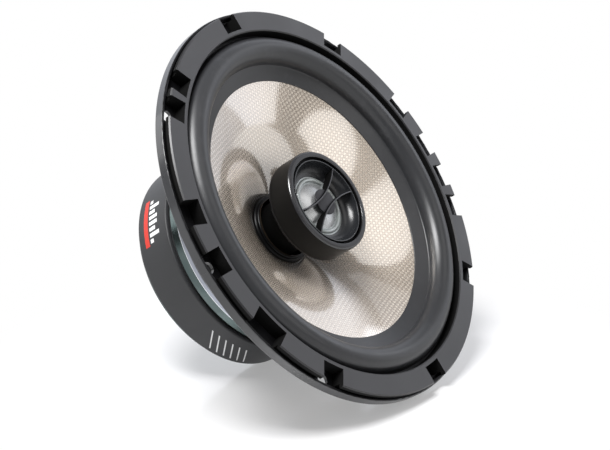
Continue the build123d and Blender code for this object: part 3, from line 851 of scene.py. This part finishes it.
dome_outline = cap_points(DOME_R, DOME_RISE)
dome_outline += cap_points(DOME_R - DOME_FOIL, DOME_RISE - DOME_FOIL)[::-1]
dome = lathe("tweeter_dome_skin", dome_outline, segments=160)
stand_for(dome, "tweeter_dome", "dome")
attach(dome, "dome_assembly")

edge_top = three_point_arc((10.1, DOME_SEAT), (11.05, -0.45), (12.0, DOME_SEAT), 14)
edge_under = three_point_arc((11.8, LEDGE), (11.05, -0.7), (10.3, LEDGE), 14)
edge_outer_r = MOTOR_R + 2.0
edge_outline = [(DOME_R, LEDGE), (DOME_R, DOME_SEAT)] + edge_top
edge_outline += [(edge_outer_r, DOME_SEAT), (edge_outer_r, LEDGE)] + edge_under
dome_edge = lathe("dome_surround_roll", edge_outline, segments=160, sharp_deg=60)
stand_for(dome_edge, "dome_surround", "dome_edge")
bend_by_radius(dome_edge)

# ---------------------------------------------------------------- tinsel leads
for sign, name in ((1, "positive"), (-1, "negative")):
    curve = bpy.data.curves.new(f"tinsel_{name}", "CURVE")
    curve.dimensions = "3D"
    curve.bevel_depth = TINSEL_R * MM
    curve.bevel_resolution = 4
    curve.resolution_u = 16
    spline = curve.splines.new("BEZIER")
    spline.bezier_points.add(len(TINSEL_STOPS) - 1)
    for point, (px, pz, ph) in zip(spline.bezier_points, TINSEL_STOPS):
        point.co = (sign * px * MM, -ph * MM, pz * MM)
        point.handle_left_type = point.handle_right_type = "AUTO"
    made = bpy.data.objects.new(f"tinsel_curve_{name}", curve)
    bpy.context.scene.collection.objects.link(made)
    bpy.context.view_layer.update()
    mesh = bpy.data.meshes.new_from_object(made.evaluated_get(bpy.context.evaluated_depsgraph_get()))
    bpy.data.objects.remove(made)
    lead = bpy.data.objects.new(f"tinsel_lead_{name}_braid", mesh)
    bpy.context.scene.collection.objects.link(lead)
    mesh.materials.clear()
    stand_for(lead, f"tinsel_lead_{name}", "braid")
    bend_by_radius(lead)

# ---------------------------------------------------------------- floor, lights and camera, in metres
VIEW_RIGHT = Vector((0.658, -0.6865, -0.3095)).normalized()
VIEW_FORWARD = Vector((0.753, 0.5999, 0.2705)).normalized()
VIEW_UP = VIEW_RIGHT.cross(VIEW_FORWARD).normalized()
VIEW_RIGHT = VIEW_FORWARD.cross(VIEW_UP).normalized()
CAMERA_PLACE = Vector((-0.4807, -0.3723, -0.1767))


def aimed(location, target, up):
    """Rotation that looks from a place to a target."""
    forward = (Vector(target) - Vector(location)).normalized()
    right = forward.cross(up).normalized()
    up = right.cross(forward)
    return Matrix((right, up, -forward)).transposed().to_4x4()


camera_data = bpy.data.cameras.new("camera")
camera_data.sensor_width = 36.0
camera_data.lens = 95.15
camera = bpy.data.objects.new("camera", camera_data)
bpy.context.scene.collection.objects.link(camera)
camera.matrix_world = Matrix.Translation(CAMERA_PLACE) @ Matrix(
    (VIEW_RIGHT, VIEW_UP, -VIEW_FORWARD)
).transposed().to_4x4()
camera_data.clip_start, camera_data.clip_end = 0.01, 50
bpy.context.scene.camera = camera

FLOOR_TILT = math.radians(16)
FLOOR_REACH = 6.0
FLOOR_GAP = 0.001
FLOOR_GLOW = 0.32
SHADOW_NEAR, SHADOW_FAR = 0.095, 0.16
ROOM_LIGHT = 0.16
FLOOR_NORMAL = (VIEW_UP * math.cos(FLOOR_TILT) - VIEW_FORWARD * math.sin(FLOOR_TILT)).normalized()
lowest = min(
    FLOOR_NORMAL.dot(NODES[name].matrix_world @ vertex.co)
    for name in ("basket", "front_ring")
    for vertex in NODES[name].data.vertices
)
floor_place = FLOOR_NORMAL * (lowest - FLOOR_GAP)
side_a = FLOOR_NORMAL.cross(VIEW_FORWARD).normalized()
side_b = FLOOR_NORMAL.cross(side_a).normalized()
floor_corners = [
    tuple(floor_place + (side_a * a + side_b * b) * FLOOR_REACH)
    for a, b in ((-1, -1), (1, -1), (1, 1), (-1, 1))
]
floor = new_object("floor", floor_corners, [(0, 1, 2, 3)], False)
if floor.data.polygons[0].normal.dot(FLOOR_NORMAL) < 0:
    floor.data.flip_normals()
# The floor turns plain white away from the speaker and where it is seen nearly edge-on, and it
# can't be seen from below.
s = Shader("floor_pale")
s.set(Base_Color=rgb(0.93, 0.93, 0.94), Roughness=0.16)
white = s.node("ShaderNodeEmission")
away = s.node("ShaderNodeVectorMath", operation="LENGTH")
s.join(s.node("ShaderNodeNewGeometry").outputs["Position"], away.inputs[0])
far = s.node("ShaderNodeMixShader")
steepness = s.dot(s.node("ShaderNodeNewGeometry").outputs["Incoming"], FLOOR_NORMAL)
grazing = s.invert(s.smooth_step(steepness, 0.04, 0.14))
fade = s.math("MAXIMUM", grazing, s.smooth_step(away.outputs["Value"], SHADOW_NEAR, SHADOW_FAR))
s.join(s.math("MAXIMUM", FLOOR_GLOW, fade), far.inputs[0])
s.join(s.bsdf.outputs[0], far.inputs[1])
s.join(white.outputs[0], far.inputs[2])
clear = s.node("ShaderNodeBsdfTransparent")
one_sided = s.node("ShaderNodeMixShader")
s.join(s.node("ShaderNodeNewGeometry").outputs["Backfacing"], one_sided.inputs[0])
s.join(far.outputs[0], one_sided.inputs[1])
s.join(clear.outputs[0], one_sided.inputs[2])
s.join(one_sided.outputs[0], s.out.inputs["Surface"])
floor.data.materials.append(s.material)


def softbox(name, right, up, back, width, height, power):
    """Rectangular light aimed at the speaker, placed by the view's right, up and towards-camera."""
    data = bpy.data.lights.new(name, "AREA")
    data.shape = "RECTANGLE"
    data.size, data.size_y = width, height
    data.energy = power
    light = bpy.data.objects.new(name, data)
    bpy.context.scene.collection.objects.link(light)
    place_at = VIEW_RIGHT * right + VIEW_UP * up - VIEW_FORWARD * back
    light.matrix_world = Matrix.Translation(place_at) @ aimed(place_at, (0, 0, 0), VIEW_UP)


softbox("key_front", -0.16, 0.50, 0.36, 0.34, 0.26, 6.5)
softbox("rim_left", -0.8, 0.45, -0.2, 0.3, 0.7, 1.2)

# Studio seen by every ray but the camera's own: a white backdrop ahead, four soft windows on the
# right with dark gaps between them, a fifth farther back, and a dim room elsewhere. Angles are
# turned from the view's right towards the camera, and raised above the horizon.
world = bpy.data.worlds.new("studio")
bpy.context.scene.world = world
w = NodeTree(world)
direction = w.node("ShaderNodeTexCoord").outputs["Generated"]
to_right = w.dot(direction, VIEW_RIGHT)
upward = w.dot(direction, VIEW_UP)
ahead = w.dot(direction, VIEW_FORWARD)
turned = w.math("DEGREES", w.math("ARCTAN2", w.math("MULTIPLY", ahead, -1.0), to_right))
raised = w.math("DEGREES", w.math("ARCSINE", upward))
low_row = w.band(raised, 2.0, 24.5, 2.5)
high_row = w.band(raised, 30.0, 66.0, 3.0)
near_column = w.band(turned, 6.0, 46.0, 2.5)
far_column = w.band(turned, -30.0, -6.0, 2.5)
middle_row = w.band(raised, 20.0, 44.0, 4.0)
back_column = w.band(turned, -40.0, -15.0, 6.0)
backdrop = w.math("MULTIPLY", w.smooth_step(ahead, 0.3, 0.55), w.remap(raised, 0.0, 36.0, 0.35, 1.2))
light = w.math("MAXIMUM", backdrop, ROOM_LIGHT)
for row, column, strength in (
    (low_row, near_column, 1.38),
    (low_row, far_column, 1.4),
    (high_row, near_column, 1.3),
    (high_row, far_column, 0.5),
    (middle_row, back_column, 2.2),
):
    window = w.math("MULTIPLY", w.math("MULTIPLY", row, column), strength)
    light = w.math("MAXIMUM", light, window)
seen = w.node("ShaderNodeLightPath").outputs["Is Camera Ray"]
light = w.math("MAXIMUM", light, seen)
background = w.node("ShaderNodeBackground")
cool = w.mix(w.smooth_step(ahead, 0.0, 0.5), rgb(1.0, 0.98, 0.96), rgb(0.93, 0.96, 1.04))
w.join(w.mix(seen, cool, rgb(1.0, 1.0, 1.0)), background.inputs["Color"])
w.join(light, background.inputs["Strength"])
w.join(background.outputs[0], w.node("ShaderNodeOutputWorld").inputs["Surface"])
view = bpy.context.scene.view_settings
view.view_transform = "Standard"
view.look = "None"
view.exposure = 0.0
